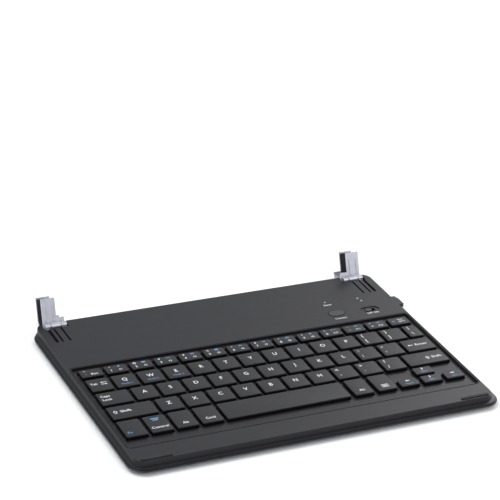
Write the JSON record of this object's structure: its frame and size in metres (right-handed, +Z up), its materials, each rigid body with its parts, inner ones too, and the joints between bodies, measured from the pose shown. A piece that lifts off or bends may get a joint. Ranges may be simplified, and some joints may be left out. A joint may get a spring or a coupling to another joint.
{
  "type": "tablet keyboard case",
  "caption": "Slim black wireless keyboard base with silver hinged clips at its rear corners that grip a tablet's long edge, so it stands as a screen or folds over the keys.",
  "frame": {"origin": "centre of the base's middle foot, on the surface the keyboard stands on", "axes": "+X to the typist's right, along the base's width; +Y from the front edge to the hinges; +Z up"},
  "size_m": [0.2416, 0.1818, 0.0218],
  "materials": {
    "shell_plastic": "fine moulded texture, satin",
    "keycap_plastic": "fine matte texture",
    "control_plastic": "satin",
    "clip_metal": "fine blasted silver",
    "plain_steel": "plain",
    "black_rubber": "matte",
    "dome_rubber": "translucent silicone",
    "membrane_film": "clear printed film",
    "link_plastic": "moulded white",
    "board": "solder resist",
    "module_can": "tinned can",
    "battery_foil": "laminated foil",
    "tail_film": "amber film",
    "light_window": "frosted clear"
  },
  "bodies": {
    "base": {"bottom_cover": "shell_plastic", "top_deck": "shell_plastic", "backplate": "plain_steel", "switch_membrane": "membrane_film", "rubber_domes": "dome_rubber", "scissor_links": "link_plastic", "stabilizer_bars": "plain_steel", "circuit_board": "board", "radio_module": "module_can", "battery_cell": "battery_foil", "membrane_tail": "tail_film", "charge_socket": "plain_steel", "power_switch": "plain_steel", "connect_switch": "plain_steel", "light_pipes": "light_window", "indicator_leds": "link_plastic", "front_bumpers": "black_rubber", "rubber_feet": "black_rubber", "case_screws": "plain_steel", "left_hinge_bracket": "clip_metal", "left_hinge_pin": "plain_steel", "left_friction_washers": "plain_steel", "left_hinge_screws": "plain_steel", "right_hinge_bracket": "clip_metal", "right_hinge_pin": "plain_steel", "right_friction_washers": "plain_steel", "right_hinge_screws": "plain_steel"},
    "port_cover": {"port_cover": "black_rubber"},
    "power_slider": {"power_slider": "control_plastic"},
    "connect_button": {"connect_button": "control_plastic"},
    "left_clip": {"left_clip": "clip_metal", "left_clip_liner": "black_rubber"},
    "right_clip": {"right_clip": "clip_metal", "right_clip_liner": "black_rubber"},
    "esc_key": {"esc_key": "keycap_plastic"},
    "number_keys": {"number_keys": "keycap_plastic"},
    "delete_key": {"delete_key": "keycap_plastic"},
    "tab_key": {"tab_key": "keycap_plastic"},
    "top_letter_keys": {"top_letter_keys": "keycap_plastic"},
    "backslash_key": {"backslash_key": "keycap_plastic"},
    "caps_lock_key": {"caps_lock_key": "keycap_plastic"},
    "home_letter_keys": {"home_letter_keys": "keycap_plastic"},
    "enter_key": {"enter_key": "keycap_plastic"},
    "left_shift_key": {"left_shift_key": "keycap_plastic"},
    "bottom_letter_keys": {"bottom_letter_keys": "keycap_plastic"},
    "right_shift_key": {"right_shift_key": "keycap_plastic"},
    "fn_key": {"fn_key": "keycap_plastic"},
    "control_key": {"control_key": "keycap_plastic"},
    "left_alt_key": {"left_alt_key": "keycap_plastic"},
    "command_key": {"command_key": "keycap_plastic"},
    "space_bar": {"space_bar": "keycap_plastic"},
    "right_alt_key": {"right_alt_key": "keycap_plastic"},
    "menu_key": {"menu_key": "keycap_plastic"},
    "left_arrow_key": {"left_arrow_key": "keycap_plastic"},
    "up_arrow_key": {"up_arrow_key": "keycap_plastic"},
    "down_arrow_key": {"down_arrow_key": "keycap_plastic"},
    "right_arrow_key": {"right_arrow_key": "keycap_plastic"}
  },
  "joints": [
    {"name": "left_clip_hinge", "type": "hinge", "parent": "base", "child": "left_clip", "pos_m": [-0.104, 0.08, 0.0068], "axis": [1, 0, 0], "range_deg": [-6, 113]},
    {"name": "right_clip_hinge", "type": "hinge", "parent": "base", "child": "right_clip", "pos_m": [0.104, 0.08, 0.0068], "axis": [1, 0, 0], "range_deg": [-6, 113]},
    {"name": "port_cover_swing", "type": "hinge", "parent": "base", "child": "port_cover", "pos_m": [0.12035, 0.0486, 0.0046], "axis": [0, 0, 1], "range_deg": [0, 100]},
    {"name": "power_slide", "type": "slide", "parent": "base", "child": "power_slider", "axis": [1, 0, 0], "range_m": [0, 0.002]},
    {"name": "connect_press", "type": "slide", "parent": "base", "child": "connect_button", "axis": [0, 0, -1], "range_m": [0, 0.0006], "stiffness_N_per_m": 800},
    {"name": "esc_press", "type": "slide", "parent": "base", "child": "esc_key", "axis": [0, 0, -1], "range_m": [0, 0.0014], "stiffness_N_per_m": 350},
    {"name": "number_keys_press", "type": "slide", "parent": "base", "child": "number_keys", "axis": [0, 0, -1], "range_m": [0, 0.0014], "stiffness_N_per_m": 4200},
    {"name": "delete_press", "type": "slide", "parent": "base", "child": "delete_key", "axis": [0, 0, -1], "range_m": [0, 0.0014], "stiffness_N_per_m": 350},
    {"name": "tab_press", "type": "slide", "parent": "base", "child": "tab_key", "axis": [0, 0, -1], "range_m": [0, 0.0014], "stiffness_N_per_m": 350},
    {"name": "top_letter_keys_press", "type": "slide", "parent": "base", "child": "top_letter_keys", "axis": [0, 0, -1], "range_m": [0, 0.0014], "stiffness_N_per_m": 4200},
    {"name": "backslash_press", "type": "slide", "parent": "base", "child": "backslash_key", "axis": [0, 0, -1], "range_m": [0, 0.0014], "stiffness_N_per_m": 350},
    {"name": "caps_lock_press", "type": "slide", "parent": "base", "child": "caps_lock_key", "axis": [0, 0, -1], "range_m": [0, 0.0014], "stiffness_N_per_m": 350},
    {"name": "home_letter_keys_press", "type": "slide", "parent": "base", "child": "home_letter_keys", "axis": [0, 0, -1], "range_m": [0, 0.0014], "stiffness_N_per_m": 3850},
    {"name": "enter_press", "type": "slide", "parent": "base", "child": "enter_key", "axis": [0, 0, -1], "range_m": [0, 0.0014], "stiffness_N_per_m": 350},
    {"name": "left_shift_press", "type": "slide", "parent": "base", "child": "left_shift_key", "axis": [0, 0, -1], "range_m": [0, 0.0014], "stiffness_N_per_m": 350},
    {"name": "bottom_letter_keys_press", "type": "slide", "parent": "base", "child": "bottom_letter_keys", "axis": [0, 0, -1], "range_m": [0, 0.0014], "stiffness_N_per_m": 3500},
    {"name": "right_shift_press", "type": "slide", "parent": "base", "child": "right_shift_key", "axis": [0, 0, -1], "range_m": [0, 0.0014], "stiffness_N_per_m": 350},
    {"name": "fn_press", "type": "slide", "parent": "base", "child": "fn_key", "axis": [0, 0, -1], "range_m": [0, 0.0014], "stiffness_N_per_m": 350},
    {"name": "control_press", "type": "slide", "parent": "base", "child": "control_key", "axis": [0, 0, -1], "range_m": [0, 0.0014], "stiffness_N_per_m": 350},
    {"name": "left_alt_press", "type": "slide", "parent": "base", "child": "left_alt_key", "axis": [0, 0, -1], "range_m": [0, 0.0014], "stiffness_N_per_m": 350},
    {"name": "command_press", "type": "slide", "parent": "base", "child": "command_key", "axis": [0, 0, -1], "range_m": [0, 0.0014], "stiffness_N_per_m": 350},
    {"name": "space_bar_press", "type": "slide", "parent": "base", "child": "space_bar", "axis": [0, 0, -1], "range_m": [0, 0.0014], "stiffness_N_per_m": 350},
    {"name": "right_alt_press", "type": "slide", "parent": "base", "child": "right_alt_key", "axis": [0, 0, -1], "range_m": [0, 0.0014], "stiffness_N_per_m": 350},
    {"name": "menu_press", "type": "slide", "parent": "base", "child": "menu_key", "axis": [0, 0, -1], "range_m": [0, 0.0014], "stiffness_N_per_m": 350},
    {"name": "left_arrow_press", "type": "slide", "parent": "base", "child": "left_arrow_key", "axis": [0, 0, -1], "range_m": [0, 0.0014], "stiffness_N_per_m": 350},
    {"name": "up_arrow_press", "type": "slide", "parent": "base", "child": "up_arrow_key", "axis": [0, 0, -1], "range_m": [0, 0.0014], "stiffness_N_per_m": 350},
    {"name": "down_arrow_press", "type": "slide", "parent": "base", "child": "down_arrow_key", "axis": [0, 0, -1], "range_m": [0, 0.0014], "stiffness_N_per_m": 350},
    {"name": "right_arrow_press", "type": "slide", "parent": "base", "child": "right_arrow_key", "axis": [0, 0, -1], "range_m": [0, 0.0014], "stiffness_N_per_m": 350}
  ]
}
